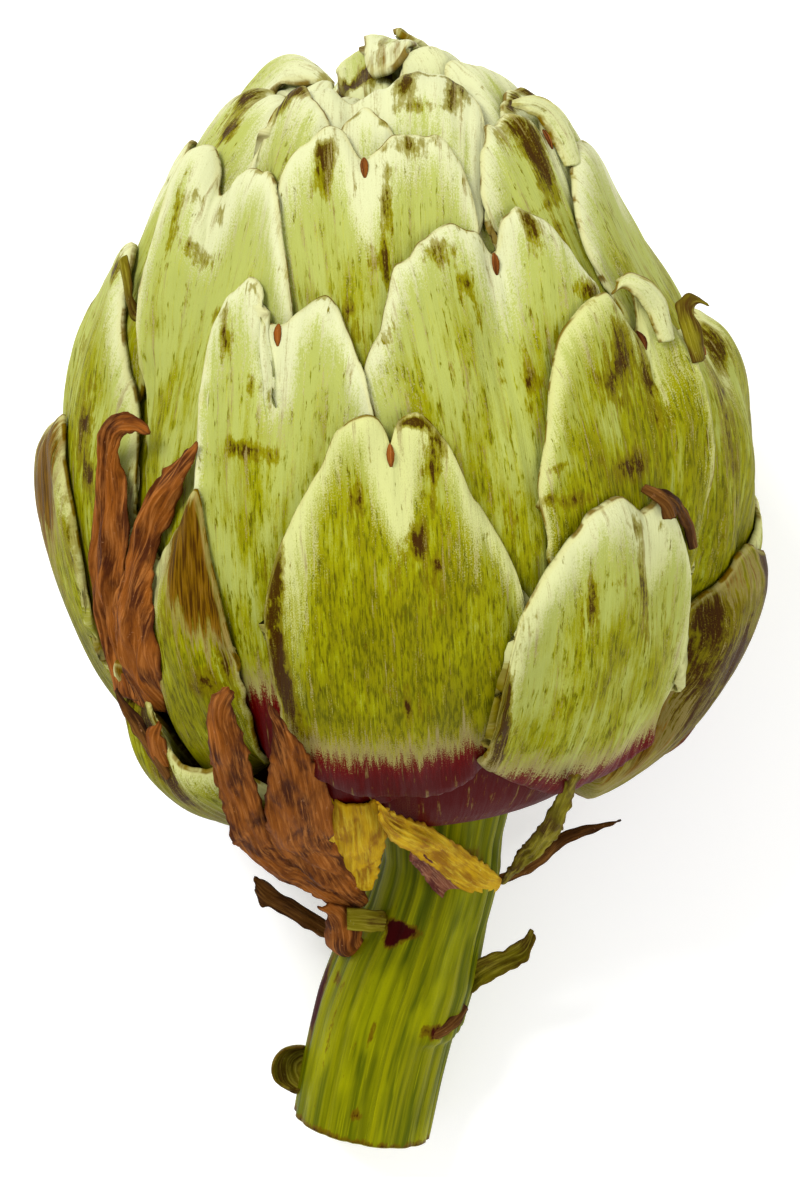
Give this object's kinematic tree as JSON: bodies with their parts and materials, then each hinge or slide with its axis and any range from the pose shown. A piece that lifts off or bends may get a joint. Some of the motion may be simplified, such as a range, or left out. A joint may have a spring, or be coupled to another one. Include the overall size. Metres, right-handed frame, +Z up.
{
  "type": "artichoke",
  "caption": "Globe artichoke cut with a short stem, lying on its side on a flat spot, with overlapping notched bracts and dry basal bracts.",
  "frame": {"origin": "middle of the flat spot under the head that the artichoke rests on", "axes": "+Z up; +Y towards the tip of the head, which is lifted, with the cut stem towards -Y; +X to the right seen from above with the tip ahead"},
  "size_m": [0.1068, 0.1601, 0.0992],
  "materials": {
    "green_bracts": "fresh fleshy bracts, satin, pale green with fine fibres, olive stains and purple bases",
    "stem": "fresh ribbed stem, satin, yellow-green with darker grooves",
    "dry_bracts": "dry papery bract, matte, rust brown",
    "wilting_bracts": "wilting bract, satin, yellow-olive with brown edges",
    "stem_leaves": "small wilting stem leaf, matte, olive to dark brown"
  },
  "bodies": {
    "root": {"head": "green_bracts", "stem": "stem", "dry_bract_forked": "dry_bracts", "dry_bract_yellow": "wilting_bracts", "dry_bract_olive": "wilting_bracts", "dry_bract_thin": "dry_bracts", "dry_bract_inner": "wilting_bracts", "stem_leaf_left": "stem_leaves", "stem_leaf_hood": "stem_leaves", "stem_leaf_right": "stem_leaves"}
  },
  "joints": []
}
